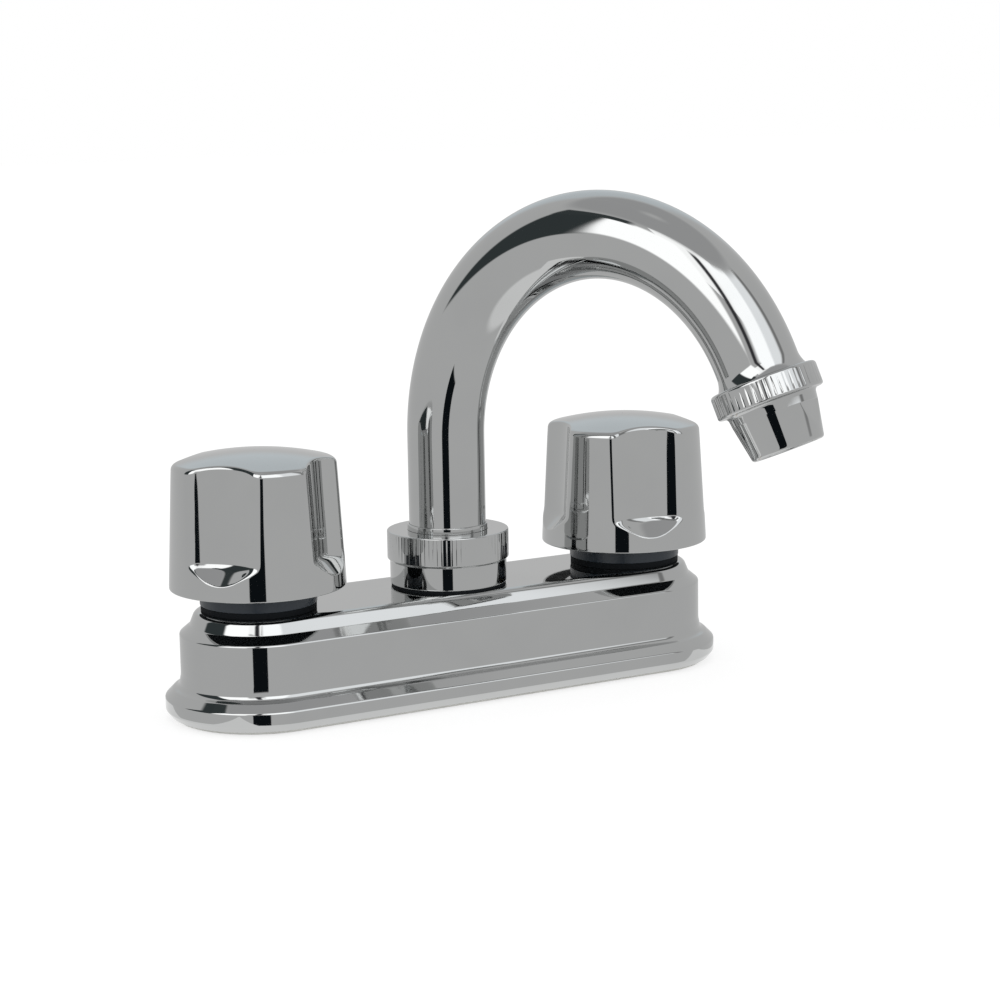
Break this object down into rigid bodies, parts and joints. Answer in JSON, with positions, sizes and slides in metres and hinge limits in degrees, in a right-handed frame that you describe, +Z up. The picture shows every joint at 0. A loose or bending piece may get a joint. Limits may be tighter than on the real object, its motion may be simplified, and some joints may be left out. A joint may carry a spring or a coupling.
{
  "type": "basin mixer tap",
  "caption": "Chromed deck-mounted basin mixer tap with a long rounded base, fluted side knobs, a knurled nut and a bent swivel spout with an aerator.",
  "frame": {"origin": "centre of the base gasket's underside, on the deck, below the spout's swivel axis", "axes": "+Z up along the spout's swivel axis; +X along the base to the cold knob; the user stands at -Y"},
  "size_m": [0.1466, 0.1109, 0.169],
  "materials": {
    "chrome": "polished",
    "brass": "machined",
    "rubber": "matt",
    "dark_plastic": "satin",
    "white_plastic": "satin",
    "ceramic": "lapped",
    "steel": "fine"
  },
  "bodies": {
    "base": {"base_gasket": "white_plastic", "base_cover": "chrome", "waterway_body": "brass", "spout_nut_washer": "rubber", "spout_nut": "chrome", "spout_bushing": "white_plastic", "hot_collar": "dark_plastic", "hot_seat_seal": "rubber", "hot_fixed_disc": "ceramic", "hot_cartridge_housing": "white_plastic", "hot_bonnet_nut": "brass", "hot_tail_washer": "rubber", "hot_lock_nut": "brass", "cold_collar": "dark_plastic", "cold_seat_seal": "rubber", "cold_fixed_disc": "ceramic", "cold_cartridge_housing": "white_plastic", "cold_bonnet_nut": "brass", "cold_tail_washer": "rubber", "cold_lock_nut": "brass"},
    "hot_knob": {"hot_handle": "chrome", "hot_handle_insert": "white_plastic", "hot_handle_screw": "steel", "hot_spindle": "brass", "hot_spindle_seal": "rubber", "hot_moving_disc": "ceramic"},
    "cold_knob": {"cold_handle": "chrome", "cold_handle_insert": "white_plastic", "cold_handle_screw": "steel", "cold_spindle": "brass", "cold_spindle_seal": "rubber", "cold_moving_disc": "ceramic"},
    "spout": {"spout_tube": "chrome", "spout_retaining_ring": "brass", "spout_ferrule": "chrome", "spout_o_rings": "rubber", "aerator_housing": "chrome", "aerator_washer": "rubber", "aerator_insert": "white_plastic", "aerator_screen": "steel"}
  },
  "joints": [
    {"name": "spout_swivel", "type": "hinge", "parent": "base", "child": "spout", "pos_m": [0, 0, 0.035], "axis": [0, 0, 1], "continuous": true},
    {"name": "hot_turn", "type": "hinge", "parent": "base", "child": "hot_knob", "pos_m": [-0.0508, 0, 0.03], "axis": [0, 0, 1], "range_deg": [0, 90]},
    {"name": "cold_turn", "type": "hinge", "parent": "base", "child": "cold_knob", "pos_m": [0.0508, 0, 0.03], "axis": [0, 0, 1], "range_deg": [-90, 0]}
  ]
}
